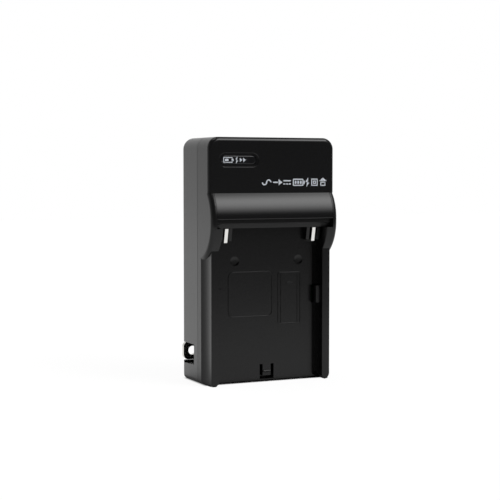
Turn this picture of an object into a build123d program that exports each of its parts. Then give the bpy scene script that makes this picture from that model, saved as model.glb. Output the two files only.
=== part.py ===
from build123d import *
from math import copysign, sqrt
import os

# A wall charger for a camera battery, standing on its lower end.
# X points right, Y to the rear and Z up, in millimetres. The origin is under the middle of the case.

# Case: two moulded halves that meet at the seam
body_width = 48.4
body_height = 86.0
body_depth = 28.0
case_wall = 1.8
top_corner_r = 4.0
bottom_corner_r = 1.6
inner_corner_r = 0.3
rear_edge_r = 2.4
seam_chamfer = 0.12
lap_height = 1.0
lap_gap = 0.1

# Glossy front cover: a flat panel that rolls forward into the cap of the hood
panel_height = 19.3
panel_thick = 1.6
panel_edge_r = 1.4
hood_bulge = 3.05
hood_rise = 9.0
cap_wall = 1.4
cap_gap = 0.12
cap_edge_r = 0.3

# Hood: the wings sweep back from the nose, and the underside steps in above the bay
wing_band = 1.88
wing_straight = 1.2
wing_drop = 13.8
wing_front_r = 1.6
wing_setback = 7.0
wing_edge_r = 0.4
lip_step = 1.0
lip_drop = 1.6
inner_lip_drop = 1.5
lip_tilt = 0.25
lip_edge_r = 0.3

# Battery bay between two rims
rim_width = 2.95
rim_setback = 0.7
side_step = 1.25
bay_depth = 4.15
cove_length = 5.0
ledge_setback = 6.3
ledge_thick = 3.05
rim_edge_r = 0.15
left_foot_r = 0.6
right_foot_r = 2.2
foot_flare = 1.2
foot_gap = 0.6
floor_wall = 1.5

# Groove along each rim, with a lug that hooks the battery and the core hole behind it
left_groove_width = 1.7
right_groove_width = 2.0
groove_depth = 1.0
groove_low_z = 1.2
groove_top_gap = 6.0
lug_top_drop = 21.1
lug_height = 6.0
lug_reach = 1.85
lug_setback = 1.3
lug_thick = 1.6
lug_hole_margin = 0.2
lug_hole_inset = 0.4

# Marks on the bay floor: dimples, moulded frames and the snap tongue
dimple_d = 3.4
dimple_depth = 0.18
crescent_depth = 1.2
crescent_width = 0.65
dimple_from_wall = 7.6
dimple_drop = 11.7
frame_line = 0.45
frame_height = 0.22
frame_edge_r = 0.15
wide_frame_width = 17.3
wide_frame_height = 16.1
wide_frame_x = -6.26
wide_frame_drop = 23.4
wide_frame_corner_r = 2.0
tall_frame_width = 9.2
tall_frame_height = 18.6
tall_frame_x = 8.9
tall_frame_drop = 25.2
tall_frame_corner_r = 0.8
tall_frame_gap = 0.9
tick_width = 2.7
tick_height = 0.9
tick_drop = 20.0
tongue_width = 3.15
tongue_slot = 1.15
tongue_root_z = 6.25
tongue_end_z = 2.15
tongue_slot_low_z = 1.0
tongue_ridge = 0.9
tongue_ridge_z = 3.7

# Pill-shaped lamp window in the panel
pill_width = 14.9
pill_height = 4.65
pill_from_side = 3.9
pill_from_top = 7.9
pill_sunk = 0.35
pill_border = 0.65
pill_edge_r = 0.2
window_gap = 0.05
window_edge_r = 0.5
lamp_d = 3.0
lamp_flange_d = 3.8
lamp_flange_thick = 0.8
lamp_length = 4.4
lamp_hole_gap = 0.4
lamp_from_pill_end = 2.55
lamp_lead_pitch = 1.6

# Battery contacts under the hood, each between two guard ribs
contact_from_wall = 3.05
contact_thick = 1.4
contact_height = 5.0
contact_ceiling_gap = 0.2
contact_reach = 3.7
contact_slope = 1.1
contact_corner_r = 0.5
contact_edge_r = 0.2
contact_tail_height = 3.0
contact_pin_height = 1.6
contact_slot_gap = 0.1
rib_thick = 1.2
inner_rib_reach = 3.0
outer_rib_reach = 3.8
rib_height = 4.5
rib_slope = 1.0
rib_gap = 0.57

# Folding plug blades in the recess at the rear
blade_pitch = 12.7
blade_z = 10.0
blade_width = 6.35
blade_thick = 1.5
blade_sunk = 0.5
blade_tip_out = 0.1
blade_tip_r = 1.8
blade_hole_d = 3.2
blade_hole_from_tip = 3.4
knuckle_d = 2.4
pin_d = 1.4
pin_running_gap = 0.05
pin_seat_gap = 0.02
pin_seat_length = 1.3
blade_side_gap = 0.2
blade_floor_gap = 0.25
recess_wall = 1.5
notch_depth = 11.4
notch_width = 8.0
notch_drop = 0.4
notch_fall = 0.3
spring_width = 2.8
spring_thick = 0.4
spring_gap = 0.1
spring_bend_r = 0.6
spring_wall_gap = 0.5
spring_slot_gap = 0.5
spring_foot_margin = 2.5

# Screws
screw_well_d = 5.0
screw_well_wall = 1.1
screw_seat = 1.8
screw_head_d = 4.2
screw_head_height = 1.5
screw_shank_d = 2.0
screw_length = 5.4
screw_hole_gap = 0.3
cross_width = 0.6
cross_length = 2.4
cross_depth = 0.9
head_edge_r = 0.4
boss_d = 5.4
pilot_gap = 0.02
pilot_spare = 0.4
top_screw_from_side = 6.6
top_screw_from_top = 7.0
low_screw_from_side = 9.6
low_screw_above_blade = 9.5
board_screw_margin = 2.4
board_screw_head_d = 3.8
board_screw_length = 6.0

# Circuit board, with its parts in rows behind it
board_thick = 1.6
board_gap = 1.1
board_side_gap = 4.1
board_low_z = 24.0
board_shoulder_gap = 11.0
board_tab_width = 25.0
board_tab_gap = 4.0
board_rows = 6
board_post_d = 3.0
board_post_x = 12.0
board_post_margin = 2.6
lead_d = 0.7
lead_hole_gap = 0.1
lead_end = 0.7

mains_can_d = 8.4
mains_can_margin = 6.6
mains_can_clearance = 1.7
output_can_d = 6.4
output_can_margin = 7.6
output_can_clearance = 2.9
can_lead_pitch = 2.6
can_edge_r = 0.6
can_groove = 0.35
can_groove_height = 1.3

core_width = 13.0
core_height = 12.0
core_leg = 2.0
core_middle_leg = 3.4
transformer_x = 2.6
bobbin_wall = 0.5
bobbin_gap = 0.1
bobbin_flange = 0.8
bobbin_flange_clearance = 3.5
winding_gap = 0.15
winding_thick = 2.0
winding_board_gap = 0.4
winding_clearance = 2.5

choke_d = 6.0
choke_height = 7.0
choke_x = -2.6
choke_neck_d = 4.2
choke_flange = 1.2
fuse_d = 2.6
fuse_length = 7.2
fuse_margin = 6.6
axial_lead_margin = 1.4
axial_edge_r = 0.4
diode_d = 2.7
diode_length = 5.0
diode_margin = 7.4
bridge_width = 8.2
bridge_height = 6.4
bridge_thick = 2.6
bridge_margin = 7.0
opto_width = 6.4
opto_height = 4.6
opto_thick = 3.4
opto_margin = 7.6
chip_x = 3.0
chip_width = 5.0
chip_height = 4.0
chip_thick = 1.5
block_standoff = 0.5
block_edge = 0.25
block_leg = 0.5
transistor_margin = 5.8
transistor_width = 7.8
transistor_thick = 2.7
transistor_standoff = 1.8
transistor_clearance = 2.3
transistor_pitch = 2.3
transistor_hole_d = 3.0
disc_d = 6.0
disc_thick = 2.8
disc_margin = 9.4
disc_standoff = 1.0
disc_edge_r = 0.8
resistor_width = 3.2
resistor_height = 1.6
resistor_thick = 0.6
resistor_pitch = 4.6
resistor_gap = 1.0

# Places that follow from the sizes above
half_width = body_width / 2
rear_y = body_depth / 2
inner_rear_y = rear_y - case_wall
nose_y = -body_depth / 2
panel_y = nose_y + hood_bulge
cover_back_y = panel_y + panel_thick
shell_front_y = cover_back_y + floor_wall
hood_top_z = body_height - panel_height
nose_z = hood_top_z - hood_rise
lip_z = nose_z - lip_drop
ceiling_z = lip_z - inner_lip_drop
wing_turn_z = nose_z - wing_straight
wing_foot_z = wing_turn_z - wing_drop
hood_r = (hood_bulge**2 + hood_rise**2) / (2 * hood_bulge)
hood_centre_y = nose_y + hood_r
cap_half = half_width - wing_band - cap_gap
rim_half = half_width - side_step
bay_half = rim_half - rim_width
rim_y = panel_y + rim_setback
floor_y = rim_y + bay_depth
groove_y = floor_y + groove_depth
floor_back_y = groove_y + floor_wall
wing_end_y = rim_y + wing_setback
ledge_y = rim_y + ledge_setback
seam_y = ledge_y + ledge_thick
lug_high_z = ceiling_z - lug_top_drop
lug_low_z = lug_high_z - lug_height
groove_high_z = ceiling_z - groove_top_gap
groove_widths = {-1: left_groove_width, 1: right_groove_width}
dimple_x = bay_half - dimple_from_wall
dimple_z = ceiling_z - dimple_drop
dimple_r = (dimple_d**2 / 4 + dimple_depth**2) / (2 * dimple_depth)
wide_frame_z = ceiling_z - wide_frame_drop
tall_frame_z = ceiling_z - tall_frame_drop
tick_z = ceiling_z - tick_drop
pill_x = -half_width + pill_from_side + pill_width / 2
pill_z = body_height - pill_from_top
lamp_x = pill_x + pill_width / 2 - lamp_from_pill_end
contact_x = bay_half - contact_from_wall
contact_high_z = ceiling_z - contact_ceiling_gap
contact_low_z = contact_high_z - contact_height
contact_z = contact_high_z - contact_height / 2
pivot_x = blade_pitch / 2
blade_rear_y = rear_y - blade_sunk
pivot_y = blade_rear_y - blade_thick / 2
recess_floor_y = pivot_y - knuckle_d / 2 - blade_floor_gap
recess_half_height = blade_width / 2 + blade_side_gap
pin_length = 2 * (recess_half_height + pin_seat_length)
notch_front_y = rear_y - notch_depth
notch_back_y = blade_rear_y - blade_thick
notch_inner_x = half_width - notch_width
board_front_y = floor_back_y + board_gap
board_rear_y = board_front_y + board_thick
board_half = half_width - board_side_gap
board_shoulder_z = body_height - board_shoulder_gap
board_tab_high_z = body_height - board_tab_gap
board_row_z = [
    board_low_z + (row + 0.5) * (board_shoulder_z - board_low_z) / board_rows for row in range(board_rows)
]
spring_foot_z = board_low_z + spring_foot_margin
screw_seat_y = seam_y + screw_seat
top_screw_x = half_width - top_screw_from_side
top_screw_z = body_height - top_screw_from_top
low_screw_x = half_width - low_screw_from_side
low_screw_z = blade_z + low_screw_above_blade
case_screw_places = [
    (side * x, z) for x, z in ((top_screw_x, top_screw_z), (low_screw_x, low_screw_z)) for side in (-1, 1)
]
board_screw_places = [(side * (board_half - board_screw_margin), board_row_z[-1]) for side in (-1, 1)]
SIDES = {"left": -1, "right": 1}
OUT = 5.0

pieces = {}


def facing(y):
    """Upright plane at depth y, with X to the right and Z up. It extrudes to the front."""
    return Plane.XZ.offset(-y)


def bar(x_limits, y_limits, z_limits, mode=Mode.ADD):
    """Box between three pairs of limits, added to the open part."""
    limits = (x_limits, y_limits, z_limits)
    with Locations(tuple((low + high) / 2 for low, high in limits)):
        Box(*(abs(high - low) for low, high in limits), mode=mode)


def rod(x, z, diameter, from_y, to_y, mode=Mode.ADD):
    """Round rod along Y between two depths, added to the open part."""
    with Locations(Location((x, (from_y + to_y) / 2, z), (90, 0, 0))):
        Cylinder(diameter / 2, abs(to_y - from_y), mode=mode)


def case_outline(y, inset):
    """Rounded outline of the case at depth y, drawn in by inset all round."""
    with BuildSketch(facing(y)) as outline:
        with Locations((0, body_height / 2)):
            Rectangle(body_width - 2 * inset, body_height - 2 * inset)
        fillet(outline.vertices().group_by(Axis.Y)[-1], top_corner_r - inset)
        if inset > 0:
            fillet(outline.vertices().group_by(Axis.Y)[0], inner_corner_r)
    return outline.sketch


def round_bottom(shell):
    """Rounds the two long bottom edges of a shell that is still a plain slab."""
    long_edges = shell.edges().filter_by(GeomType.LINE).filter_by(Axis.Y).group_by(Axis.Z)[0]
    fillet(long_edges, bottom_corner_r)


def hood_z(radius, y):
    """Height at which a circle round the hood's centre line passes depth y, above the nose."""
    return nose_z + sqrt(radius**2 - (y - hood_centre_y) ** 2)


# Wing of the hood: an end band beside the cap, and the broader sweep below the lips
with BuildPart() as wing:
    with BuildSketch(Plane.YZ.offset(cap_half + cap_gap)):
        with BuildLine():
            Line((wing_end_y, hood_top_z), (panel_y, hood_top_z))
            TangentArc((nose_y, nose_z), (panel_y, hood_top_z), tangent=(0, 1))
            Line((nose_y, nose_z), (nose_y, wing_turn_z))
            TangentArc((nose_y, wing_turn_z), (wing_end_y, wing_foot_z), tangent=(0, -1))
            Line((wing_end_y, wing_foot_z), (wing_end_y, hood_top_z))
        make_face()
    extrude(amount=half_width - cap_half - cap_gap)
    fillet(wing.faces().sort_by(Axis.X)[-1].edges().sort_by(Axis.Y)[:3], wing_front_r)
    with BuildSketch(Plane.YZ.offset(bay_half)):
        with BuildLine():
            Polyline((wing_end_y, nose_z), (nose_y, nose_z), (nose_y, wing_turn_z))
            TangentArc((nose_y, wing_turn_z), (wing_end_y, wing_foot_z), tangent=(0, -1))
            Line((wing_end_y, wing_foot_z), (wing_end_y, nose_z))
        make_face()
    extrude(amount=cap_half + cap_gap - bay_half)
    fillet(wing.faces().sort_by(Axis.X)[0].edges().sort_by(Axis.Y)[:2], wing_edge_r)
    bar(
        (bay_half, cap_half + cap_gap),
        (nose_y - OUT, wing_end_y),
        (ceiling_z, nose_z),
        mode=Mode.SUBTRACT,
    )

# Block that carries the bay, with rounded rims
with BuildPart() as bay_block:
    with BuildSketch(facing(ledge_y)) as block_outline:
        with Locations((0, nose_z / 2)):
            Rectangle(2 * rim_half, nose_z)
        fillet(block_outline.vertices().group_by(Axis.Y)[0].sort_by(Axis.X)[0], left_foot_r)
        fillet(block_outline.vertices().group_by(Axis.Y)[0].sort_by(Axis.X)[-1], right_foot_r)
    extrude(amount=ledge_setback)
    fillet(bay_block.faces().sort_by(Axis.Y)[0].edges().sort_by(Axis.Z)[:-1], rim_edge_r)

# Front shell: the case from the seam to the ledge, the bay block on it, and the hood over the bay
shell_r = hood_r - cap_wall - cap_gap
shell_top_z = hood_z(shell_r, cover_back_y)
hollow_top_z = hood_z(shell_r - floor_wall, shell_front_y)
step_y = nose_y + cap_wall + cap_gap
inner_step_y = step_y + lip_step
with BuildPart() as front_shell:
    extrude(case_outline(seam_y, 0), amount=ledge_thick)
    with BuildSketch(Plane.XY):
        with BuildLine():
            TangentArc((rim_half, ledge_y - cove_length), (half_width, ledge_y), tangent=(0, 1))
            Polyline(
                (half_width, ledge_y),
                (half_width, seam_y - floor_wall),
                (bay_half, seam_y - floor_wall),
                (bay_half, ledge_y - cove_length),
                (rim_half, ledge_y - cove_length),
            )
        make_face()
        mirror(about=Plane.YZ)
    extrude(amount=nose_z)
    round_bottom(front_shell)
    chamfer(front_shell.faces().sort_by(Axis.Y)[-1].edges(), seam_chamfer)
    with BuildSketch(Plane.YZ):
        with BuildLine():
            Polyline((ledge_y, body_height), (cover_back_y, body_height), (cover_back_y, shell_top_z))
            TangentArc((step_y, nose_z), (cover_back_y, shell_top_z), tangent=(0, 1))
            FilletPolyline(
                (step_y, nose_z),
                (step_y, lip_z),
                (inner_step_y, lip_z),
                (inner_step_y + lip_tilt, ceiling_z),
                (ledge_y, ceiling_z),
                radius=lip_edge_r,
            )
            Line((ledge_y, ceiling_z), (ledge_y, body_height))
        make_face()
    extrude(amount=half_width, both=True)
    extrude(case_outline(seam_y, 0), amount=seam_y - nose_y + OUT, mode=Mode.INTERSECT)
    add(bay_block.part)
    add(wing.part)
    mirror(wing.part, about=Plane.YZ)

    # Bay, open at the front and the foot and flared there, with a round-ended groove along each rim
    with BuildSketch(facing(floor_y)):
        with BuildLine():
            Polyline(
                (-bay_half - foot_flare, 0),
                (-bay_half, foot_flare),
                (-bay_half, ceiling_z),
                (bay_half, ceiling_z),
                (bay_half, foot_flare),
                (bay_half + foot_flare, 0),
                close=True,
            )
        make_face()
    extrude(amount=floor_y - nose_y + OUT, mode=Mode.SUBTRACT)
    bar((-bay_half, bay_half), (floor_y - OUT, ledge_y), (-OUT, foot_gap), mode=Mode.SUBTRACT)
    with BuildSketch(facing(groove_y)):
        for side, width in groove_widths.items():
            with Locations((side * (bay_half - width / 2), (groove_low_z + groove_high_z) / 2)):
                RectangleRounded(width, groove_high_z - groove_low_z, width / 2 - pilot_gap)
    extrude(amount=groove_depth + OUT / 5, mode=Mode.SUBTRACT)
    for side, width in groove_widths.items():
        bar(
            (side * (bay_half - width - lug_hole_inset), side * bay_half),
            (floor_y - OUT / 5, seam_y),
            (lug_low_z - lug_hole_margin, lug_high_z + lug_hole_margin),
            mode=Mode.SUBTRACT,
        )
        bar(
            (side * (bay_half - lug_reach), side * rim_half),
            (rim_y + lug_setback, rim_y + lug_setback + lug_thick),
            (lug_low_z, lug_high_z),
        )

    # Dimples with a crescent cut at their foot, moulded frames and the snap tongue of the bay floor
    dimple_y = floor_y + dimple_depth - dimple_r
    with Locations((-dimple_x, dimple_y, dimple_z), (dimple_x, dimple_y, dimple_z)):
        Sphere(dimple_r, mode=Mode.SUBTRACT)
    with BuildSketch(facing(floor_y)):
        with Locations((-dimple_x, dimple_z), (dimple_x, dimple_z)):
            Circle(dimple_d / 2)
        with Locations((-dimple_x, dimple_z + crescent_width), (dimple_x, dimple_z + crescent_width)):
            Circle(dimple_d / 2, mode=Mode.SUBTRACT)
    extrude(amount=-crescent_depth, mode=Mode.SUBTRACT)
    with BuildSketch(facing(floor_y)):
        with Locations((wide_frame_x, wide_frame_z)):
            RectangleRounded(wide_frame_width, wide_frame_height, wide_frame_corner_r)
            RectangleRounded(
                wide_frame_width - 2 * frame_line,
                wide_frame_height - 2 * frame_line,
                wide_frame_corner_r - frame_line,
                mode=Mode.SUBTRACT,
            )
        with Locations((tall_frame_x, tall_frame_z)):
            RectangleRounded(tall_frame_width, tall_frame_height, tall_frame_corner_r)
            RectangleRounded(
                tall_frame_width - 2 * frame_line,
                tall_frame_height - 2 * frame_line,
                tall_frame_corner_r - frame_line,
                mode=Mode.SUBTRACT,
            )
            with Locations((-tall_frame_width / 2 + frame_line + tall_frame_gap, 0)):
                Rectangle(frame_line, tall_frame_height - frame_line)
            with Locations((tall_frame_width / 2 - frame_line - tall_frame_gap, 0)):
                Rectangle(frame_line, tall_frame_height - frame_line)
        with Locations((tall_frame_x, tick_z)):
            RectangleRounded(tick_width, tick_height, tick_height / 3)
    frames = extrude(amount=frame_height)
    fillet(frames.faces().group_by(Axis.Y)[0].edges(), frame_edge_r)
    with BuildSketch(facing(seam_y)):
        with Locations((0, (tongue_root_z + tongue_slot_low_z) / 2)):
            Rectangle(tongue_width + 2 * tongue_slot, tongue_root_z - tongue_slot_low_z)
        with Locations((0, (tongue_root_z + tongue_end_z) / 2)):
            Rectangle(tongue_width, tongue_root_z - tongue_end_z, mode=Mode.SUBTRACT)
    extrude(amount=seam_y - floor_y + OUT / 5, mode=Mode.SUBTRACT)
    with Locations(Location((0, floor_y, tongue_ridge_z), (0, 90, 0))):
        Cylinder(tongue_ridge / 2, tongue_width - 2 * frame_height)

    # Guard ribs of the battery contacts, sloped like the contacts themselves
    rib_inner_x = contact_x - contact_thick / 2 - rib_gap - rib_thick
    rib_outer_x = contact_x + contact_thick / 2 + rib_gap
    for side in SIDES.values():
        for rib_x, reach in ((rib_inner_x, inner_rib_reach), (rib_outer_x, outer_rib_reach)):
            with BuildSketch(Plane.YZ.offset(side * rib_x)):
                with BuildLine():
                    Polyline(
                        (floor_back_y, ceiling_z + floor_wall / 2),
                        (floor_y - reach, ceiling_z + floor_wall / 2),
                        (floor_y - reach + rib_slope, ceiling_z - rib_height),
                        (floor_back_y, ceiling_z - rib_height),
                        close=True,
                    )
                make_face()
            extrude(amount=side * rib_thick)

    # Hollow inside, the rebate that takes the rear shell's lip, and the bosses
    extrude(case_outline(seam_y, case_wall), amount=ledge_thick - floor_wall, mode=Mode.SUBTRACT)
    rebate = case_outline(seam_y, case_wall / 2 - lap_gap)
    extrude(rebate, amount=lap_height + lap_gap, mode=Mode.SUBTRACT)
    bar(
        (-rim_half + case_wall, rim_half - case_wall),
        (floor_back_y, seam_y),
        (case_wall, ceiling_z),
        mode=Mode.SUBTRACT,
    )
    with BuildSketch(Plane.YZ):
        with BuildLine():
            Polyline(
                (seam_y, body_height - case_wall),
                (shell_front_y, body_height - case_wall),
                (shell_front_y, hollow_top_z),
            )
            TangentArc((step_y + floor_wall, nose_z), (shell_front_y, hollow_top_z), tangent=(0, 1))
            Polyline(
                (step_y + floor_wall, nose_z),
                (inner_step_y + floor_wall, nose_z),
                (inner_step_y + floor_wall, ceiling_z + floor_wall),
                (floor_back_y, ceiling_z + floor_wall),
                (floor_back_y, ceiling_z),
                (seam_y, ceiling_z),
                (seam_y, body_height - case_wall),
            )
        make_face()
    extrude(amount=half_width - case_wall, both=True, mode=Mode.SUBTRACT)
    for x, z in case_screw_places:
        rod(x, z, boss_d, seam_y, shell_front_y if z > ceiling_z else floor_back_y)
        pilot_end_y = screw_seat_y - screw_length - pilot_spare
        rod(x, z, screw_shank_d + pilot_gap, seam_y, pilot_end_y, mode=Mode.SUBTRACT)
    for x, z in board_screw_places:
        rod(x, z, boss_d, board_front_y, shell_front_y)
        pilot_end_y = board_rear_y - board_screw_length - pilot_spare
        rod(x, z, screw_shank_d + pilot_gap, board_front_y, pilot_end_y, mode=Mode.SUBTRACT)
    for side in SIDES.values():
        rod(side * board_post_x, board_low_z + board_post_margin, board_post_d, board_front_y, floor_back_y)

    # Slots for the contact tails and the hole for the lamp
    slot_half = contact_thick / 2 + contact_slot_gap
    tail_slot_half = contact_tail_height / 2 + contact_slot_gap
    for side in SIDES.values():
        bar(
            (side * (contact_x - slot_half), side * (contact_x + slot_half)),
            (floor_y, floor_back_y),
            (contact_z - tail_slot_half, contact_z + tail_slot_half),
            mode=Mode.SUBTRACT,
        )
    rod(lamp_x, pill_z, lamp_d + lamp_hole_gap, cover_back_y, shell_front_y, mode=Mode.SUBTRACT)
pieces["front_shell"] = front_shell

# Glossy front cover: panel, hood cap and the sunk border of the lamp window
with BuildPart() as front_cover:
    with BuildSketch(facing(cover_back_y)) as panel:
        with Locations((0, (hood_top_z + body_height) / 2)):
            Rectangle(body_width, body_height - hood_top_z)
        fillet(panel.vertices().group_by(Axis.Y)[-1], top_corner_r)
    extrude(amount=panel_thick)
    panel_rim = front_cover.faces().sort_by(Axis.Y)[0].edges()
    fillet(panel_rim.sort_by(Axis.Z)[1:], panel_edge_r)
    with BuildSketch(Plane.YZ):
        with BuildLine():
            Polyline((cover_back_y, hood_top_z), (panel_y, hood_top_z))
            TangentArc((nose_y, nose_z), (panel_y, hood_top_z), tangent=(0, 1))
            Line((nose_y, nose_z), (nose_y + cap_wall, nose_z))
            cap_top_z = hood_z(hood_r - cap_wall, cover_back_y)
            TangentArc((nose_y + cap_wall, nose_z), (cover_back_y, cap_top_z), tangent=(0, 1))
            Line((cover_back_y, cap_top_z), (cover_back_y, hood_top_z))
        make_face()
    extrude(amount=cap_half, both=True)
    fillet(front_cover.edges().group_by(Axis.Z)[0].sort_by(Axis.Y)[0], cap_edge_r)
    with BuildSketch(facing(panel_y + pill_sunk)):
        with Locations((pill_x, pill_z)):
            SlotOverall(pill_width, pill_height)
    extrude(amount=OUT, mode=Mode.SUBTRACT)
    panel_face = front_cover.faces().filter_by(lambda face: abs(face.center().Y - panel_y) < pill_edge_r / 9)
    fillet(panel_face[0].inner_wires()[0].edges(), pill_edge_r)
    with BuildSketch(facing(cover_back_y)):
        with Locations((pill_x, pill_z)):
            SlotOverall(pill_width - 2 * pill_border, pill_height - 2 * pill_border)
    extrude(amount=OUT, mode=Mode.SUBTRACT)
pieces["front_cover"] = front_cover

# Smoked window, a pill that fills the slot of the cover
with BuildPart() as lamp_window:
    with BuildSketch(facing(cover_back_y)):
        with Locations((pill_x, pill_z)):
            SlotOverall(
                pill_width - 2 * pill_border - 2 * window_gap,
                pill_height - 2 * pill_border - 2 * window_gap,
            )
    extrude(amount=panel_thick - pill_sunk)
    fillet(lamp_window.faces().sort_by(Axis.Y)[0].edges(), window_edge_r)
pieces["lamp_window"] = lamp_window

# Rear shell: a tub with a lip at the seam, the plug recess and the screw wells
with BuildPart() as rear_shell:
    extrude(case_outline(rear_y, 0), amount=rear_y - seam_y)
    fillet(rear_shell.faces().sort_by(Axis.Y)[-1].edges(), rear_edge_r)
    round_bottom(rear_shell)
    chamfer(rear_shell.faces().sort_by(Axis.Y)[0].edges(), seam_chamfer)
    extrude(case_outline(inner_rear_y, case_wall), amount=inner_rear_y - seam_y, mode=Mode.SUBTRACT)
    extrude(case_outline(seam_y + lap_height, case_wall / 2), amount=2 * lap_height)
    extrude(case_outline(seam_y + lap_height, case_wall), amount=2 * lap_height, mode=Mode.SUBTRACT)

    # Walls of the blade recess and of the finger notch in front of each blade's tip
    recess_low_z = blade_z - recess_half_height
    recess_high_z = blade_z + recess_half_height
    bar(
        (-notch_inner_x, notch_inner_x),
        (recess_floor_y - recess_wall, inner_rear_y),
        (recess_low_z - recess_wall, recess_high_z + recess_wall),
    )
    for side in SIDES.values():
        bar(
            (side * (notch_inner_x - recess_wall), side * (half_width - case_wall)),
            (notch_front_y - recess_wall, inner_rear_y),
            (recess_low_z - notch_drop - notch_fall - recess_wall, recess_high_z + recess_wall),
        )
    recess_inner_x = pivot_x - knuckle_d / 2 - blade_floor_gap
    for side in SIDES.values():
        bar(
            (side * recess_inner_x, side * (half_width + OUT)),
            (recess_floor_y, rear_y + OUT),
            (recess_low_z, recess_high_z),
            mode=Mode.SUBTRACT,
        )
        with BuildSketch(Plane.YZ.offset(side * notch_inner_x)):
            with BuildLine():
                Polyline(
                    (notch_front_y, recess_low_z - notch_drop),
                    (notch_back_y, recess_low_z - notch_drop - notch_fall),
                    (notch_back_y, recess_high_z),
                    (notch_front_y, recess_high_z),
                    close=True,
                )
            make_face()
        extrude(amount=side * (notch_width + OUT), mode=Mode.SUBTRACT)
        slot_half_width = spring_width / 2 + spring_slot_gap
        slot_half_height = recess_half_height - spring_slot_gap
        bar(
            (side * (pivot_x - slot_half_width), side * (pivot_x + slot_half_width)),
            (recess_floor_y - recess_wall, recess_floor_y),
            (blade_z - slot_half_height, blade_z + slot_half_height),
            mode=Mode.SUBTRACT,
        )
        with Locations((side * pivot_x, pivot_y, blade_z)):
            Cylinder(pin_d / 2 + pin_seat_gap, pin_length, mode=Mode.SUBTRACT)

    # Screw wells
    for x, z in case_screw_places:
        rod(x, z, screw_well_d + 2 * screw_well_wall, seam_y, inner_rear_y)
    for x, z in case_screw_places:
        rod(x, z, screw_well_d, screw_seat_y, rear_y, mode=Mode.SUBTRACT)
        rod(x, z, screw_shank_d + 2 * screw_hole_gap, seam_y, screw_seat_y, mode=Mode.SUBTRACT)
pieces["rear_shell"] = rear_shell


def screw(x, z, seat_y, head_d, length):
    """Pan-head screw with a cross recess, its head's underside at seat_y."""
    head_y = seat_y + screw_head_height
    with BuildPart() as built:
        rod(x, z, head_d, seat_y, head_y)
        fillet(built.edges().filter_by(GeomType.CIRCLE).sort_by(Axis.Y)[-1], head_edge_r)
        for width, height in ((cross_width, cross_length), (cross_length, cross_width)):
            with Locations((x, head_y - cross_depth / 2, z)):
                Box(width, cross_depth, height, mode=Mode.SUBTRACT)
        rod(x, z, screw_shank_d, seat_y - length, seat_y)
    return built.part


# Screws, each kind as one group
with BuildPart() as case_screws:
    for x, z in case_screw_places:
        add(screw(x, z, screw_seat_y, screw_head_d, screw_length))
pieces["case_screws"] = case_screws

with BuildPart() as board_screws:
    for x, z in board_screw_places:
        add(screw(x, z, board_rear_y, board_screw_head_d, board_screw_length))
pieces["board_screws"] = board_screws

# Plug blades with their hinge pins and leaf contacts
knuckle_front_y = pivot_y - knuckle_d / 2
blade_tip_x = half_width + blade_tip_out
spring_contact_y = knuckle_front_y - spring_gap - spring_thick / 2
spring_back_y = recess_floor_y - recess_wall - spring_wall_gap - spring_thick / 2
spring_low_z = blade_z - spring_width / 2
spring_turn_z = blade_z + spring_width / 4
for word, side in SIDES.items():
    with BuildPart() as blade:
        with BuildSketch(facing(blade_rear_y)) as blade_outline:
            with Locations((side * (pivot_x + blade_tip_x) / 2, blade_z)):
                Rectangle(blade_tip_x - pivot_x, blade_width)
            tip_corners = blade_outline.vertices().group_by(Axis.X)[-1 if side > 0 else 0]
            fillet(tip_corners, blade_tip_r)
            with Locations((side * (blade_tip_x - blade_hole_from_tip), blade_z)):
                Circle(blade_hole_d / 2, mode=Mode.SUBTRACT)
        extrude(amount=blade_thick)
        with Locations((side * pivot_x, pivot_y, blade_z)):
            Cylinder(knuckle_d / 2, blade_width)
            Cylinder(pin_d / 2 + pin_running_gap, blade_width, mode=Mode.SUBTRACT)
    pieces[f"blade_{word}"] = blade

    with BuildPart() as hinge_pin:
        with Locations((side * pivot_x, pivot_y, blade_z)):
            Cylinder(pin_d / 2, pin_length)
    pieces[f"hinge_pin_{word}"] = hinge_pin

    with BuildPart() as blade_spring:
        with BuildSketch(Plane.YZ.offset(side * pivot_x)):
            with BuildLine() as spring_path:
                FilletPolyline(
                    (spring_contact_y, spring_low_z),
                    (spring_contact_y, spring_turn_z),
                    (spring_back_y, spring_turn_z),
                    (spring_back_y, spring_foot_z),
                    (board_rear_y + spring_thick / 2, spring_foot_z),
                    radius=spring_bend_r,
                )
            trace(line_width=spring_thick)
        extrude(amount=spring_width / 2, both=True)
        rod(side * pivot_x, spring_foot_z, lead_d, board_rear_y + spring_thick, board_front_y - lead_end)
    pieces[f"blade_spring_{word}"] = blade_spring

    # Battery contact: a folded blade under the hood, with a sloped front and a tail through to the board
    with BuildPart() as battery_contact:
        with BuildSketch(Plane.YZ.offset(side * contact_x)) as contact_plate:
            with BuildLine():
                Polyline(
                    (floor_y, contact_high_z),
                    (floor_y - contact_reach, contact_high_z),
                    (floor_y - contact_reach + contact_slope, contact_low_z),
                    (floor_y, contact_low_z),
                    close=True,
                )
            make_face()
            fillet(contact_plate.vertices().group_by(Axis.Y)[0].sort_by(Axis.X)[0], contact_corner_r)
            with Locations(((floor_y + board_front_y) / 2, contact_z)):
                Rectangle(board_front_y - floor_y, contact_tail_height)
            with Locations(((board_front_y + board_rear_y + lead_end) / 2, contact_z)):
                Rectangle(board_thick + lead_end, contact_pin_height)
        extrude(amount=contact_thick / 2, both=True)
        front_faces = battery_contact.faces().sort_by(Axis.Y)[0]
        fillet(front_faces.edges().filter_by(Axis.X, reverse=True), contact_edge_r)
    pieces[f"battery_contact_{word}"] = battery_contact

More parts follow.
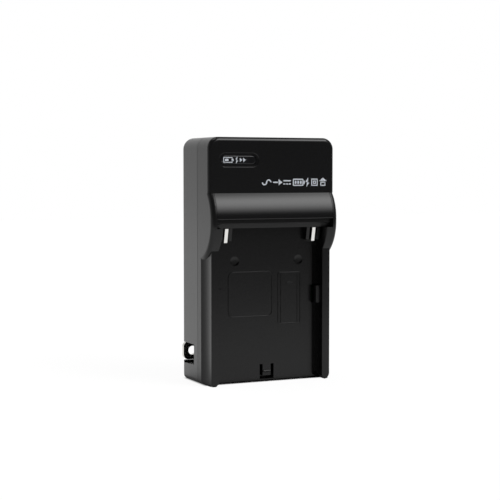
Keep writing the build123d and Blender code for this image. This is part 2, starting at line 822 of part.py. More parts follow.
# Places of the parts on the board: rows count from its lower edge
fuse_x = -board_half + fuse_margin
mains_can_x = -board_half + mains_can_margin
disc_x = -board_half + disc_margin
opto_x = -board_half + opto_margin
output_can_x = -board_half + output_can_margin
bridge_x = board_half - bridge_margin
transistor_x = board_half - transistor_margin
diode_x = board_half - diode_margin
fuse_z, mains_can_z, disc_z, opto_z, output_can_z, chip_z = board_row_z
bridge_z = choke_z = mains_can_z
transistor_z = disc_z
transformer_z = opto_z
diode_z = resistor_z = output_can_z
diode_half_span = diode_length / 2 + axial_lead_margin
resistor_x = diode_x - diode_half_span - lead_d / 2 - resistor_gap - resistor_width / 2


def pair(x, z, reach):
    """Places of two leads, at equal distances left and right of a part's middle."""
    return [(x - reach, z), (x + reach, z)]


lamp_leads = pair(lamp_x, pill_z, lamp_lead_pitch / 2)
mains_leads = pair(mains_can_x, mains_can_z, can_lead_pitch / 2)
output_leads = pair(output_can_x, output_can_z, can_lead_pitch / 2)
choke_leads = pair(choke_x, choke_z, can_lead_pitch / 2)
disc_leads = pair(disc_x, disc_z, can_lead_pitch / 2)
fuse_leads = pair(fuse_x, fuse_z, fuse_length / 2 + axial_lead_margin)
diode_leads = pair(diode_x, diode_z, diode_half_span)
transistor_leads = pair(transistor_x, transistor_z, transistor_pitch) + [(transistor_x, transistor_z)]
spring_leads = pair(0, spring_foot_z, pivot_x)
bobbin_half_width = core_middle_leg / 2 + bobbin_gap + bobbin_wall
bobbin_half_length = (core_height - 2 * core_leg) / 2 - bobbin_gap
flange_mid_z = bobbin_half_length - bobbin_flange / 2
bobbin_leads = pair(transformer_x, transformer_z - flange_mid_z, bobbin_half_width)
bobbin_leads += pair(transformer_x, transformer_z + flange_mid_z, bobbin_half_width)


def corner_leads(x, z, width, height):
    """Four lead places at the long sides of a small block."""
    reach_x = width / 2 - lead_d
    reach_z = height / 2 + lead_d / 2
    return [(x + i * reach_x, z + j * reach_z) for i in (-1, 1) for j in (-1, 1)]


bridge_leads = corner_leads(bridge_x, bridge_z, bridge_width, bridge_height)
opto_leads = corner_leads(opto_x, opto_z, opto_width, opto_height)
all_leads = (
    lamp_leads + mains_leads + output_leads + choke_leads + disc_leads + fuse_leads + diode_leads
    + transistor_leads + bobbin_leads + spring_leads + bridge_leads + opto_leads
)


def leads(places, from_y):
    """Round leads from depth from_y through the board, added to the open part."""
    for x, z in places:
        rod(x, z, lead_d, from_y, board_front_y - lead_end)


# Circuit board: narrower between the upper screw bosses, drilled for screws, leads and contacts
with BuildPart() as circuit_board:
    bar((-board_half, board_half), (board_front_y, board_rear_y), (board_low_z, board_shoulder_z))
    bar(
        (-board_tab_width / 2, board_tab_width / 2),
        (board_front_y, board_rear_y),
        (board_shoulder_z, board_tab_high_z),
    )
    for x, z in board_screw_places:
        rod(x, z, screw_shank_d + 2 * screw_hole_gap, board_front_y, board_rear_y, mode=Mode.SUBTRACT)
    for x, z in all_leads:
        rod(x, z, lead_d + 2 * lead_hole_gap, board_front_y, board_rear_y, mode=Mode.SUBTRACT)
    pin_slot_half = contact_pin_height / 2 + contact_slot_gap
    for side in SIDES.values():
        bar(
            (side * (contact_x - slot_half), side * (contact_x + slot_half)),
            (board_front_y, board_rear_y),
            (contact_z - pin_slot_half, contact_z + pin_slot_half),
            mode=Mode.SUBTRACT,
        )
pieces["circuit_board"] = circuit_board

# Two-colour lamp behind the window, its domed end in the hole of the front shell
with BuildPart() as indicator_lamp:
    lamp_front_y = cover_back_y + lamp_hole_gap
    lamp_base_y = lamp_front_y + lamp_length
    rod(lamp_x, pill_z, lamp_d, lamp_front_y + lamp_d / 2, lamp_base_y)
    with Locations((lamp_x, lamp_front_y + lamp_d / 2, pill_z)):
        Sphere(lamp_d / 2)
    rod(lamp_x, pill_z, lamp_flange_d, lamp_base_y - lamp_flange_thick, lamp_base_y)
    for x, z in lamp_leads:
        rod(x, z, lead_d, lamp_base_y, board_rear_y + lead_end)
pieces["indicator_lamp"] = indicator_lamp


def can(x, z, diameter, clearance, places):
    """Standing capacitor can with a rolled groove above its base, that ends short of the rear wall."""
    with BuildPart() as built:
        rod(x, z, diameter, board_rear_y, inner_rear_y - clearance)
        fillet(built.edges().filter_by(GeomType.CIRCLE).sort_by(Axis.Y)[-1], can_edge_r)
        with Locations(Location((x, board_rear_y + can_groove_height, z), (90, 0, 0))):
            Torus(diameter / 2, can_groove, mode=Mode.SUBTRACT)
        leads(places, board_rear_y)
    return built


pieces["mains_capacitor"] = can(mains_can_x, mains_can_z, mains_can_d, mains_can_clearance, mains_leads)
pieces["output_capacitor"] = can(output_can_x, output_can_z, output_can_d, output_can_clearance, output_leads)

# Transformer: ferrite core with two windows, a bobbin on its middle leg and the winding round the bobbin
winding_front_y = board_rear_y + winding_board_gap
winding_rear_y = inner_rear_y - winding_clearance
bobbin_front_y = winding_front_y + winding_thick
bobbin_rear_y = winding_rear_y - winding_thick
core_front_y = bobbin_front_y + bobbin_wall + bobbin_gap
core_rear_y = bobbin_rear_y - bobbin_wall - bobbin_gap
window_width = (core_width - 2 * core_leg - core_middle_leg) / 2
with BuildPart() as transformer_core:
    with BuildSketch(facing(core_rear_y)):
        with Locations((transformer_x, transformer_z)):
            Rectangle(core_width, core_height)
            with GridLocations(core_middle_leg + window_width, 0, 2, 1):
                Rectangle(window_width, core_height - 2 * core_leg, mode=Mode.SUBTRACT)
    extrude(amount=core_rear_y - core_front_y)
pieces["transformer_core"] = transformer_core

flange_half_width = core_middle_leg / 2 + window_width - bobbin_gap
with BuildPart() as transformer_bobbin:
    bar(
        (transformer_x - bobbin_half_width, transformer_x + bobbin_half_width),
        (bobbin_front_y, bobbin_rear_y),
        (transformer_z - bobbin_half_length, transformer_z + bobbin_half_length),
    )
    for end in (-1, 1):
        bar(
            (transformer_x - flange_half_width, transformer_x + flange_half_width),
            (board_rear_y, inner_rear_y - bobbin_flange_clearance),
            (
                transformer_z + end * (bobbin_half_length - bobbin_flange),
                transformer_z + end * bobbin_half_length,
            ),
        )
    bore_half_width = core_middle_leg / 2 + bobbin_gap
    bar(
        (transformer_x - bore_half_width, transformer_x + bore_half_width),
        (core_front_y - bobbin_gap, core_rear_y + bobbin_gap),
        (transformer_z - bobbin_half_length, transformer_z + bobbin_half_length),
        mode=Mode.SUBTRACT,
    )
    leads(bobbin_leads, board_rear_y)
pieces["transformer_bobbin"] = transformer_bobbin

winding_half_length = bobbin_half_length - bobbin_flange - winding_gap
winding_half_width = flange_half_width - winding_gap
with BuildPart() as transformer_winding:
    with BuildSketch(Plane.XY.offset(transformer_z - winding_half_length)):
        with Locations((transformer_x, (winding_front_y + winding_rear_y) / 2)):
            RectangleRounded(2 * winding_half_width, winding_rear_y - winding_front_y, bobbin_wall)
            Rectangle(2 * bobbin_half_width, bobbin_rear_y - bobbin_front_y, mode=Mode.SUBTRACT)
    extrude(amount=2 * winding_half_length)
pieces["transformer_winding"] = transformer_winding

# Drum choke
with BuildPart() as choke:
    rod(choke_x, choke_z, choke_neck_d, board_rear_y, board_rear_y + choke_height)
    rod(choke_x, choke_z, choke_d, board_rear_y, board_rear_y + choke_flange)
    rod(choke_x, choke_z, choke_d, board_rear_y + choke_height - choke_flange, board_rear_y + choke_height)
    leads(choke_leads, board_rear_y)
pieces["choke"] = choke


def axial(x, z, diameter, length, places):
    """Round body lying along X on the board, with bent leads at its ends."""
    axis_y = board_rear_y + diameter / 2
    with BuildPart() as built:
        with Locations(Location((x, axis_y, z), (0, 90, 0))):
            Cylinder(diameter / 2, length)
        fillet(built.edges().filter_by(GeomType.CIRCLE), axial_edge_r)
        with Locations(Location((x, axis_y, z), (0, 90, 0))):
            Cylinder(lead_d / 2, length + 2 * axial_lead_margin)
        for end_x, end_z in places:
            with Locations((end_x, axis_y, end_z)):
                Sphere(lead_d / 2)
        leads(places, axis_y)
    return built


pieces["fuse_resistor"] = axial(fuse_x, fuse_z, fuse_d, fuse_length, fuse_leads)
pieces["output_diode"] = axial(diode_x, diode_z, diode_d, diode_length, diode_leads)


def block(x, z, width, height, thick, places):
    """Moulded package on flat feet, with leads along its long sides."""
    low_y = board_rear_y + block_standoff
    with BuildPart() as built:
        bar((x - width / 2, x + width / 2), (low_y, low_y + thick), (z - height / 2, z + height / 2))
        chamfer(built.edges(), block_edge)
        for end_x, end_z in places:
            leg_x = (end_x - block_leg / 2, end_x + block_leg / 2)
            leg_y = low_y + thick / 2
            bar(leg_x, (leg_y, leg_y - block_leg), (z, end_z + copysign(block_leg / 2, end_z - z)))
            bar(leg_x, (leg_y, board_front_y - lead_end), (end_z - block_leg / 2, end_z + block_leg / 2))
    return built


pieces["bridge_rectifier"] = block(
    bridge_x, bridge_z, bridge_width, bridge_height, bridge_thick, bridge_leads
)
pieces["optocoupler"] = block(opto_x, opto_z, opto_width, opto_height, opto_thick, opto_leads)

# Controller chip, flat on the board with its feet beside it
with BuildPart() as controller_chip:
    bar(
        (chip_x - chip_width / 2, chip_x + chip_width / 2),
        (board_rear_y, board_rear_y + chip_thick),
        (chip_z - chip_height / 2, chip_z + chip_height / 2),
    )
    chamfer(controller_chip.faces().sort_by(Axis.Y)[-1].edges(), block_edge)
    with Locations((chip_x, board_rear_y + block_edge, chip_z)):
        with GridLocations(chip_width / 4, 0, 4, 1):
            Box(block_edge * 2, block_edge * 2, chip_height + 2 * lead_d)
pieces["controller_chip"] = controller_chip

# Switching transistor, standing on three leads
with BuildPart() as switching_transistor:
    tab_low_y = board_rear_y + transistor_standoff
    tab_high_y = inner_rear_y - transistor_clearance
    bar(
        (transistor_x - transistor_width / 2, transistor_x + transistor_width / 2),
        (tab_low_y, tab_high_y),
        (transistor_z - transistor_thick / 2, transistor_z + transistor_thick / 2),
    )
    chamfer(switching_transistor.edges(), block_edge)
    with Locations((transistor_x, tab_high_y - transistor_hole_d, transistor_z)):
        Cylinder(transistor_hole_d / 2, transistor_thick, mode=Mode.SUBTRACT)
    leads(transistor_leads, tab_low_y)
pieces["switching_transistor"] = switching_transistor

# Safety capacitor, a lacquered disc on two leads
with BuildPart() as safety_capacitor:
    disc_y = board_rear_y + disc_standoff + disc_d / 2
    with Locations((disc_x, disc_y, disc_z)):
        Cylinder(disc_d / 2, disc_thick)
    fillet(safety_capacitor.edges().filter_by(GeomType.CIRCLE), disc_edge_r)
    leads(disc_leads, disc_y)
pieces["safety_capacitor"] = safety_capacitor

# Chip resistors, one group
with BuildPart() as chip_resistors:
    with Locations((resistor_x, board_rear_y + resistor_thick / 2, resistor_z)):
        for i in range(3):
            with Locations((-i * resistor_pitch, 0, 0)):
                Box(resistor_width, resistor_thick, resistor_height)
pieces["chip_resistors"] = chip_resistors

os.makedirs("parts", exist_ok=True)
for name, piece in pieces.items():
    piece.part.label = name
    export_step(piece.part, f"parts/{name}.step")
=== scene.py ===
import bpy
import math
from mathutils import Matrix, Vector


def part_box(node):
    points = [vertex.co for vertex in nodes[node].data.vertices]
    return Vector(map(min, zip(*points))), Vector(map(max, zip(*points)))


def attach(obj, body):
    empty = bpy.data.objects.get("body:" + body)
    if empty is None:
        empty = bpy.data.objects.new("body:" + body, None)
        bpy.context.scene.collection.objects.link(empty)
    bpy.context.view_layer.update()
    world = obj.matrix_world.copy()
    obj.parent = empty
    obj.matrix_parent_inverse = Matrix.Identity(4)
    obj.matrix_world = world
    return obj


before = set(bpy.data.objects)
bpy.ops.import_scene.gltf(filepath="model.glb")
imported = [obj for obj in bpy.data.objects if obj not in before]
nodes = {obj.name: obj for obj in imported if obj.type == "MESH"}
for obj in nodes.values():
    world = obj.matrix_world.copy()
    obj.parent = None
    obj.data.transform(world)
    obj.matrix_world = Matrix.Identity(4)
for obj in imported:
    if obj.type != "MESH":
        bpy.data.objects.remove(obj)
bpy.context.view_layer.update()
bpy.ops.object.select_all(action="DESELECT")
bpy.context.scene.view_settings.view_transform = "Standard"


# Case shells: two halves moulded in black ABS that meet at the seam behind the ledge.
# The mould is spark-eroded, so the plastic is satin with a very fine even grain.
# Four screws from behind hold the halves together.
class Socket:
    """A shader socket. Arithmetic on it adds Math nodes, and node() adds any other node."""

    def __init__(self, tree, output=None):
        self.tree = tree
        self.output = output

    def node(self, kind, out=0, settings=None, **inputs):
        """A new node: its settings first, then values or links for its sockets."""
        made = self.tree.nodes.new(kind)
        for name, value in (settings or {}).items():
            setattr(made, name, value)
        for name, value in inputs.items():
            key = int(name[1:]) if name[0] == "i" and name[1:].isdigit() else name.replace("_", " ")
            if isinstance(value, Socket):
                self.tree.links.new(value.output, made.inputs[key])
            else:
                made.inputs[key].default_value = value
        return Socket(self.tree, made.outputs[out])

    def math(self, operation, first, second=0.0):
        return self.node("ShaderNodeMath", settings={"operation": operation}, i0=first, i1=second)

    def noise(self, scale, detail=2.0):
        """Noise over the surface, of a given scale to the metre."""
        return self.node("ShaderNodeTexNoise", Vector=self, Scale=scale, Detail=detail)

    def mix(self, first, second):
        """A colour between two others, by this value."""
        return self.node("ShaderNodeMix", out=2, settings={"data_type": "RGBA"}, i0=self, i6=first, i7=second)

    def axes(self):
        """The three coordinates of a vector."""
        split = self.node("ShaderNodeSeparateXYZ", Vector=self).output.node
        return [Socket(self.tree, split.outputs[i]) for i in range(3)]

    def ease(self, low, high):
        """Eases from 0 at one value to 1 at another."""
        ends = {"interpolation_type": "SMOOTHSTEP"}
        return self.node("ShaderNodeMapRange", settings=ends, Value=self, i1=low, i2=high)

    def __add__(self, other):
        return self.math("ADD", self, other)

    def __radd__(self, other):
        return self.math("ADD", other, self)

    def __sub__(self, other):
        return self.math("SUBTRACT", self, other)

    def __rsub__(self, other):
        return self.math("SUBTRACT", other, self)

    def __mul__(self, other):
        return self.math("MULTIPLY", self, other)

    def __rmul__(self, other):
        return self.math("MULTIPLY", other, self)

    def __gt__(self, other):
        return self.math("GREATER_THAN", self, other)

    def __lt__(self, other):
        return self.math("LESS_THAN", self, other)

    def __abs__(self):
        return self.math("ABSOLUTE", self)


def finish(name, *names):
    """A new material on CAD nodes: its shader, and a socket on Object coordinates to start from."""
    made = bpy.data.materials.new(name)
    made.use_nodes = True
    for node_name in names:
        slots = nodes[node_name].data.materials
        slots.clear()
        slots.append(made)
    shader = made.node_tree.nodes["Principled BSDF"]
    return shader, Socket(made.node_tree).node("ShaderNodeTexCoord", out="Object")


def feed(shader, **inputs):
    """Sets or links sockets of a shader by name."""
    for name, value in inputs.items():
        socket = shader.inputs[name.replace("_", " ")]
        if isinstance(value, Socket):
            value.tree.links.new(value.output, socket)
        else:
            socket.default_value = value


# The two halves differ only in IOR, so the rear shell mirrors more and reads a little lighter than the front
# shell.
for shell, shell_ior in (("front_shell", 1.43), ("rear_shell", 1.52)):
    shader, place = finish("black_" + shell, shell)
    grain = place.noise(5200.0, 3.0)
    cloud = place.noise(90.0)
    tone = cloud.mix((0.003, 0.003, 0.0032, 1), (0.005, 0.005, 0.0052, 1))
    bump = place.node("ShaderNodeBump", Strength=0.3, Distance=0.00002, Height=grain)
    feed(shader, Base_Color=tone, Roughness=0.22 + 0.08 * grain, Normal=bump, IOR=shell_ior)

# Front cover: panel and hood cap in one, moulded in the same black from a polished tool.
# A large flat moulding keeps faint flow waves, and handling leaves fine scuffs.
shader, place = finish("polished_black", "front_cover")
waves = place.noise(60.0, 1.0)
scuffs = place.noise(900.0, 4.0)
bump = place.node("ShaderNodeBump", Strength=0.08, Distance=0.00003, Height=waves)
feed(shader, Base_Color=(0.003, 0.003, 0.0035, 1), Roughness=0.13 + 0.05 * scuffs, Normal=bump, IOR=1.5)

# Lamp window: a pill of smoked clear plastic, pressed into the sunk border of the panel.
# The lamp sits unlit behind its right end, and there a darker spot is painted: painted shade of the lamp's
# hollow, seen through the smoked plastic.
shader, place = finish("smoked_window", "lamp_window")
haze = place.noise(300.0, 1.0)
lamp_place = (-0.00795, -0.0106, 0.0781)
from_lamp = place.node(
    "ShaderNodeVectorMath",
    out=1,
    settings={"operation": "DISTANCE"},
    i0=place,
    i1=lamp_place,
)
# Painted shade: darkest within 0.8 mm of the lamp, gone at 1.8 mm.
painted_lamp_shade = from_lamp.node("ShaderNodeMapRange", Value=from_lamp, i1=0.0008, i2=0.0018, i3=1.0, i4=0.0)
tone = painted_lamp_shade.mix((0.009, 0.009, 0.011, 1), (0.002, 0.002, 0.003, 1))
feed(shader, Base_Color=tone, Roughness=0.1 + 0.05 * haze, IOR=1.49)

# Battery contacts: brass strip under bright nickel, stamped and soldered into the board.
# Sliding batteries keep the plating rubbed bright.
shader, place = finish("bright_nickel", "battery_contact_left", "battery_contact_right")
rub = place.noise(1500.0)
feed(shader, Base_Color=(0.93, 0.92, 0.89, 1), Metallic=1.0, Roughness=0.16 + 0.1 * rub)

# Plug blades: thicker brass strip under nickel, each turning on its hinge pin.
# Outlets leave fine scratches along the blade, which dull the plating a little.
shader, place = finish("scratched_nickel", "blade_left", "blade_right")
along = place.node("ShaderNodeVectorMath", settings={"operation": "MULTIPLY"}, i0=place, i1=(0.06, 1.0, 1.0))
scratch = along.noise(5200.0, 3.0)
tone = scratch.mix((0.6, 0.585, 0.55, 1), (0.8, 0.785, 0.75, 1))
feed(shader, Base_Color=tone, Metallic=1.0, Roughness=0.14 + 0.2 * scratch)

# Hinge pins and screws: zinc-plated steel with a faint yellow bloom.
# The pins hold the blades, and the screws hold the case halves and the board.
shader, place = finish("zinc_steel", "hinge_pin_left", "hinge_pin_right", "case_screws", "board_screws")
bloom = place.noise(700.0, 3.0)
tone = bloom.mix((0.5, 0.5, 0.5, 1), (0.62, 0.59, 0.52, 1))
feed(shader, Base_Color=tone, Metallic=1.0, Roughness=0.26 + 0.12 * bloom)

# Leaf contacts: phosphor bronze strip that carries the mains from the blades to the board.
# Each is stamped, bent and soldered into the board, and bears on its blade.
shader, place = finish("phosphor_bronze", "blade_spring_left", "blade_spring_right")
tarnish = place.noise(500.0, 3.0)
tone = tarnish.mix((0.68, 0.43, 0.2, 1), (0.5, 0.29, 0.13, 1))
feed(shader, Base_Color=tone, Metallic=1.0, Roughness=0.25 + 0.15 * tarnish)

# Circuit board: glass-fibre laminate under dark green lacquer, with the copper tracks
# showing through as paler lines and the weave as a faint check.
shader, place = finish("green_board", "circuit_board")
cells = place.node("ShaderNodeTexVoronoi", settings={"feature": "DISTANCE_TO_EDGE"}, Vector=place, Scale=260.0)
weave = place.node("ShaderNodeTexWave", Vector=place, Scale=900.0, Distortion=0.5)
track = cells > 0.09
tone = track.mix((0.002, 0.016, 0.007, 1), (0.004, 0.03, 0.012, 1))
bump = place.node("ShaderNodeBump", Strength=0.3, Distance=0.00004, Height=track)
feed(shader, Base_Color=tone, Roughness=0.3 + 0.06 * weave, Normal=bump)

# Indicator lamp: a clear resin body cast over a red-green chip.
# It stands behind the window on tinned leads, which are soldered into the board.
shader, place = finish("lamp_resin", "indicator_lamp")
across, behind, up = place.axes()
lead_start = -0.0045
lead = behind > lead_start
cloud = place.noise(800.0)
tone = lead.mix((0.86, 0.88, 0.85, 1), (0.6, 0.6, 0.6, 1))
feed(shader, Base_Color=tone, Metallic=lead, Roughness=0.12 + 0.08 * cloud)

# Packages moulded in epoxy: black rectifier, transistor and diode, and the white optocoupler.
# Where they come down to the board, their legs are bare tinned copper.
leg_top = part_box("circuit_board")[1][1] + 0.0004
tinned = (0.66, 0.65, 0.63, 1)
black_epoxy = ((0.02, 0.02, 0.02, 1), (0.034, 0.033, 0.032, 1))
white_epoxy = ((0.7, 0.68, 0.62, 1), (0.8, 0.78, 0.72, 1))
for package, shades in (
    ("bridge_rectifier", black_epoxy),
    ("switching_transistor", black_epoxy),
    ("output_diode", black_epoxy),
    ("optocoupler", white_epoxy),
):
    shader, place = finish("epoxy_" + package, package)
    across, behind, up = place.axes()
    leg = behind < leg_top
    speck = place.noise(2600.0, 3.0)
    tone = leg.mix(speck.mix(*shades), tinned)
    bump = place.node("ShaderNodeBump", Strength=0.2, Distance=0.00002, Height=speck)
    feed(shader, Base_Color=tone, Metallic=leg, Roughness=0.48 - 0.2 * leg + 0.1 * speck, Normal=bump)

# Chip, chip resistors and bobbin: moulded in matt black plastic.
# The chips are soldered flat to the board, and the bobbin carries the transformer's winding.
shader, place = finish("matt_black", "controller_chip", "chip_resistors", "transformer_bobbin")
speck = place.noise(2400.0, 3.0)
tone = speck.mix((0.018, 0.018, 0.019, 1), (0.03, 0.03, 0.03, 1))
bump = place.node("ShaderNodeBump", Strength=0.2, Distance=0.00002, Height=speck)
feed(shader, Base_Color=tone, Roughness=0.5 + 0.1 * speck, Normal=bump)

# Fuse resistor: a ceramic rod dipped in grey cement.
# Its tinned wires are bent down and soldered into the board.
shader, place = finish("grey_cement", "fuse_resistor")
across, behind, up = place.axes()
leg = behind < leg_top
crust = place.noise(1400.0, 4.0)
tone = leg.mix(crust.mix((0.3, 0.34, 0.36, 1), (0.46, 0.5, 0.51, 1)), tinned)
bump = place.node("ShaderNodeBump", Strength=0.4, Distance=0.00005, Height=crust)
feed(shader, Base_Color=tone, Metallic=leg, Roughness=0.7 - 0.4 * leg + 0.1 * crust, Normal=bump)

# Capacitor cans: drawn aluminium in a shrunk dark blue sleeve with a pale stripe on the
# side of the minus lead. The sleeve leaves the end of the can bare.
for can in ("mains_capacitor", "output_capacitor"):
    low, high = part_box(can)
    shader, place = finish("sleeve_" + can, can)
    across, behind, up = place.axes()
    minus_side = across > 0.08 * low[0] + 0.92 * high[0]
    bare = behind > high[1] - 0.00012
    shrink = place.noise(420.0, 2.0)
    blue = shrink.mix((0.012, 0.02, 0.1, 1), (0.018, 0.03, 0.14, 1))
    sleeve = minus_side.mix(blue, (0.6, 0.62, 0.66, 1))
    tone = bare.mix(sleeve, (0.72, 0.73, 0.74, 1))
    feed(shader, Base_Color=tone, Metallic=bare, Roughness=0.22 + 0.12 * shrink)

# Choke and transformer core: pressed and sintered ferrite, dark grey and a little rough.
# The choke stands on the board, and the core sits round the bobbin.
shader, place = finish("sintered_ferrite", "choke", "transformer_core")
pores = place.noise(1900.0, 4.0)
tone = pores.mix((0.025, 0.025, 0.027, 1), (0.06, 0.06, 0.062, 1))
bump = place.node("ShaderNodeBump", Strength=0.3, Distance=0.00003, Height=pores)
feed(shader, Base_Color=tone, Roughness=0.5 + 0.15 * pores, Normal=bump)

# Transformer winding: enamelled copper wound on the bobbin.
# Turns of yellow polyester tape cover and insulate it.
shader, place = finish("yellow_tape", "transformer_winding")
turns = place.node("ShaderNodeTexWave", settings={"bands_direction": "Y"}, Vector=place, Scale=520.0)
tone = turns.mix((0.62, 0.4, 0.03, 1), (0.78, 0.55, 0.06, 1))
feed(shader, Base_Color=tone, Roughness=0.32 + 0.08 * turns)

# Safety capacitor: a ceramic disc dipped in blue epoxy.
# It stands on the board on its two leads.
shader, place = finish("blue_dip", "safety_capacitor")
sag = place.noise(380.0)
tone = sag.mix((0.02, 0.13, 0.4, 1), (0.035, 0.19, 0.52, 1))
feed(shader, Base_Color=tone, Roughness=0.25 + 0.1 * sag)

# Printed symbols: pale ink pressed onto the panel and into the window from a pad,
# a few hundredths of a millimetre thick. Each symbol is drawn in flat faces, then given its thickness.
MM = 0.001
ink_thick = 0.03 * MM


def flat(x, z, width, height):
    """A flat face of the print at a place on the panel, in millimetres, left open in edit mode."""
    bpy.ops.mesh.primitive_plane_add(
        size=MM,
        location=(x * MM, print_y * MM, z * MM),
        rotation=(math.pi / 2, 0, 0),
    )
    face = bpy.context.object
    bpy.ops.object.mode_set(mode="EDIT")
    bpy.ops.transform.resize(value=(width, 1, height))
    return face


def close(face):
    bpy.ops.object.mode_set(mode="OBJECT")
    return face


def stripe(x, z, width, height):
    """A bar with softened corners."""
    face = flat(x, z, width, height)
    bpy.ops.mesh.bevel(offset=0.3 * min(width, height) * MM, segments=2, affect="VERTICES")
    return close(face)


def outline(x, z, width, height, line, corner):
    """A rounded box drawn as a line."""
    face = flat(x, z, width, height)
    bpy.ops.mesh.bevel(offset=corner * MM, segments=3, affect="VERTICES")
    bpy.ops.mesh.inset(thickness=line * MM)
    bpy.ops.mesh.delete(type="FACE")
    return close(face)


def pointed(x, z, width, height, turn):
    """A triangle that points right before it is turned about its middle, in degrees."""
    bpy.ops.mesh.primitive_circle_add(
        vertices=3,
        radius=MM,
        fill_type="NGON",
        location=(x * MM, print_y * MM, z * MM),
        rotation=(math.pi / 2, 0, 0),
    )
    face = bpy.context.object
    bpy.ops.object.mode_set(mode="EDIT")
    bpy.ops.transform.rotate(value=-math.pi / 2, orient_axis="Y", center_override=face.location)
    bpy.ops.transform.resize(value=(width / 1.5, 1, height / math.sqrt(3)))
    bpy.ops.transform.rotate(value=math.radians(turn), orient_axis="Y", center_override=face.location)
    return close(face)


def half_ring(x, z, radius, line, upper):
    """Half of a ring, above or below its middle, spun from a short edge."""
    face = flat(x, z, line, line)
    bpy.ops.mesh.select_all(action="DESELECT")
    bpy.ops.object.mode_set(mode="OBJECT")
    for vertex in face.data.vertices:
        vertex.select = (face.matrix_world @ vertex.co).z > z * MM
    bpy.ops.object.mode_set(mode="EDIT")
    bpy.ops.mesh.delete(type="VERT")
    bpy.ops.mesh.select_all(action="SELECT")
    bpy.ops.transform.translate(value=(radius * MM, 0, line * MM / 2))
    bpy.ops.mesh.spin(
        steps=14,
        angle=math.pi if upper else -math.pi,
        center=(x * MM, print_y * MM, z * MM),
        axis=(0, -1, 0),
    )
    return close(face)


def ink(name, faces):
    """Joins the faces of a print, gives them the ink's thickness and lets them ride on the case."""
    bpy.ops.object.select_all(action="DESELECT")
    for face in faces:
        face.select_set(True)
    bpy.context.view_layer.objects.active = faces[0]
    bpy.ops.object.join()
    bpy.ops.object.transform_apply(location=True, rotation=True, scale=True)
    printed = bpy.context.object
    printed.name = name
    bpy.ops.object.mode_set(mode="EDIT")
    bpy.ops.mesh.select_all(action="SELECT")
    bpy.ops.mesh.remove_doubles(threshold=0.00001)
    bpy.ops.mesh.extrude_region_move(TRANSFORM_OT_translate={"value": (0, -ink_thick, 0)})
    bpy.ops.mesh.select_all(action="SELECT")
    bpy.ops.mesh.normals_make_consistent(inside=False)
    bpy.ops.object.mode_set(mode="OBJECT")
    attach(printed, "case")
    bpy.ops.object.select_all(action="DESELECT")
    return printed


def battery(x, z, width, height, line):
    """A battery on its side, with its terminal."""
    nub = 0.1 * width
    return [
        outline(x, z, width, height, line, 0.15 * height),
        stripe(x + width / 2 + 0.2 * line + nub / 2, z, nub, 0.45 * height),
    ]


def bolt(x, z, height):
    """A lightning bolt from two slim triangles."""
    return [
        pointed(x - 0.02 * height, z + 0.22 * height, 0.62 * height, 0.34 * height, 68),
        pointed(x + 0.02 * height, z - 0.22 * height, 0.62 * height, 0.34 * height, 248),
    ]


panel_behind_hood = 3.05
window_sunk = 0.35
panel_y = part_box("front_cover")[0][1] / MM + panel_behind_hood
print_y = panel_y
line_z = 70.4
line = 0.46
faces = [half_ring(-3.2, line_z, 0.82, line, True), half_ring(-1.56, line_z, 0.82, line, False)]
faces += [stripe(1.05, line_z, 1.9, line), pointed(2.75, line_z, 1.5, 2.1, 0)]
faces += [stripe(5.55, line_z + 0.55, 3.0, line)]
faces += [stripe(5.55 + step, line_z - 0.55, 0.8, line) for step in (-1.1, 0, 1.1)]
faces += battery(9.9, line_z, 4.2, 2.5, 0.4)
faces += [stripe(9.9 + step, line_z, 0.7, 1.1) for step in (-1, 0, 1)]
faces += bolt(13.5, line_z, 2.8)
faces += [outline(16.35, line_z, 2.6, 2.6, 0.4, 0.1), outline(16.35, line_z, 1.2, 1.2, 0.36, 0.1)]
faces += [pointed(19.7, line_z + 0.75, 1.2, 3.2, 90), outline(19.7, line_z - 0.55, 2.1, 1.5, 0.4, 0.1)]
panel_print = ink("panel_print", faces)

print_y = panel_y + window_sunk
window_z = 78.1
faces = battery(-16.9, window_z, 3.5, 1.9, 0.3)
faces += [stripe(-17.35, window_z, 1.4, 0.8)]
faces += bolt(-13.6, window_z, 2.0)
faces += [pointed(-11.6 + step, window_z, 1.0, 1.5, 0) for step in (-0.6, 0.7)]
window_print = ink("window_print", faces)

shader, place = finish("pale_ink")
chalk = place.noise(3000.0)
tone = chalk.mix((0.84, 0.9, 1.0, 1), (0.92, 0.96, 1.0, 1))
feed(shader, Base_Color=tone, Roughness=0.5 + 0.1 * chalk)
for printed in (panel_print, window_print):
    printed.data.materials.clear()
    printed.data.materials.append(bpy.data.materials["pale_ink"])

# Table: a sheet of white paper that ends a little in front of the charger.
# The camera sees it almost as white as the backdrop, with the soft shadow left on it, and right under the
# case, where no light reaches it, it shows its own shading. For the case's reflections the paper glows, a
# painted reflection that is brighter behind and in front of the case than at its sides, with painted contact
# shade fading it out under the case and a few millimetres round it.
bpy.ops.mesh.primitive_plane_add(size=1.0, location=(0, 0.64, 0))
floor = bpy.context.object
floor.name = "floor"
bpy.ops.object.mode_set(mode="EDIT")
bpy.ops.transform.resize(value=(3.2, 1.76, 1))
bpy.ops.object.mode_set(mode="OBJECT")
bpy.ops.object.transform_apply(location=True, rotation=False, scale=False)
shader, place = finish("white_paper")
feed(shader, Base_Color=(0.82, 0.82, 0.82, 1), Roughness=0.9, Specular_IOR_Level=0.0)
seen = place.node("ShaderNodeLightPath", out="Is Camera Ray")
mirrored = place.node("ShaderNodeLightPath", out="Is Glossy Ray")
across, behind, up = place.axes()
side, bay_front, foot_front, back = 0.0235, -0.0065, -0.0095, 0.0135
covered = abs(across).ease(side + 0.001, side - 0.001) * behind.ease(back + 0.001, back - 0.001)
covered = covered * behind.ease(bay_front - 0.0005, bay_front + 0.0005)
# Painted contact shade: the glow in reflections fades out within 7.5 mm of the case's sides and back, and 2 mm
# in front of its feet.
painted_contact_shade = abs(across).ease(side + 0.0075, side) * behind.ease(back + 0.0075, back)
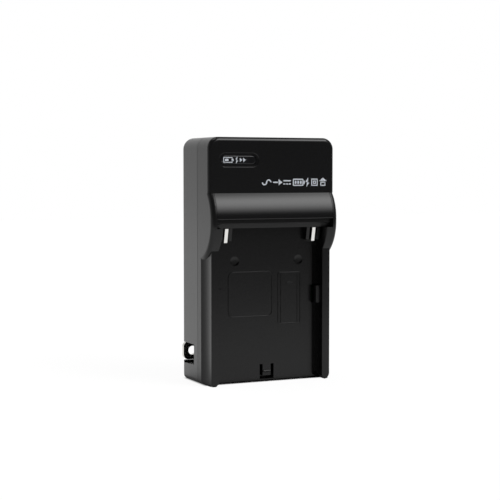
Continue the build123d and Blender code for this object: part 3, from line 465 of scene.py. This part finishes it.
painted_contact_shade = painted_contact_shade * behind.ease(foot_front - 0.002, foot_front)
toward = place.node("ShaderNodeVectorMath", settings={"operation": "NORMALIZE"}, i0=place).axes()[1]
# Painted reflection: the glow the case mirrors is brighter behind the case and in front of it than at its
# sides.
painted_reflection_glow = 0.32 + 0.24 * toward.ease(-0.2, -0.7) + 0.63 * toward.ease(0.3, 0.85)
bright = 0.8 * seen * (1 - covered) + mirrored * (1 - painted_contact_shade) * painted_reflection_glow
white = place.node("ShaderNodeEmission", Color=(1, 1, 1, 1), Strength=1.15)
paper = Socket(place.tree, shader.outputs[0])
mixed = place.node("ShaderNodeMixShader", i0=bright, i1=paper, i2=white)
place.tree.links.new(mixed.output, place.tree.nodes["Material Output"].inputs["Surface"])
floor.data.materials.append(bpy.data.materials["white_paper"])

# Studio: low white screens at the sides and brighter ones behind, a dark room on the side of the
# camera, a wide soft lamp above the camera that fades out at its edges, and a pale ceiling on the left.
world = bpy.data.worlds.new("studio")
world.use_nodes = True
bpy.context.scene.world = world
start = Socket(world.node_tree)
across, behind, up = start.node("ShaderNodeTexCoord", out="Generated").axes()
screens = 0.24 * behind.ease(-0.45, 0.15) + 0.42 * behind.ease(0.25, 0.85)
lamp = up.ease(0.16, 0.66) * up.ease(0.97, 0.68) * across.ease(0.12, 0.3) * across.ease(0.72, 0.54)
lamp = lamp * behind.ease(0.0, -0.2)
room = 0.14 + 0.07 * up.ease(0.01, -0.03)
ceiling = up.ease(0.9, 0.98) * across.ease(0.15, -0.05)
glow = room + screens * up.ease(0.75, 0.45) + 4.2 * lamp + 1.6 * ceiling
level = start.math("MAXIMUM", glow, start.node("ShaderNodeLightPath"))
background = world.node_tree.nodes["Background"]
background.inputs["Color"].default_value = (1, 1, 1, 1)
world.node_tree.links.new(level.output, background.inputs["Strength"])

# Camera: where the photograph was taken from, a little above the middle of the case.
# Its place, tilt and lens follow from the perspective of the case's edges.
bpy.ops.object.camera_add(
    location=(-0.1932, -0.4092, 0.07344),
    rotation=(math.radians(90 - 3.44), 0, math.radians(-24.854)),
)
camera = bpy.context.object
camera.data.lens = 91.54
camera.data.sensor_width = 36
bpy.context.scene.camera = camera
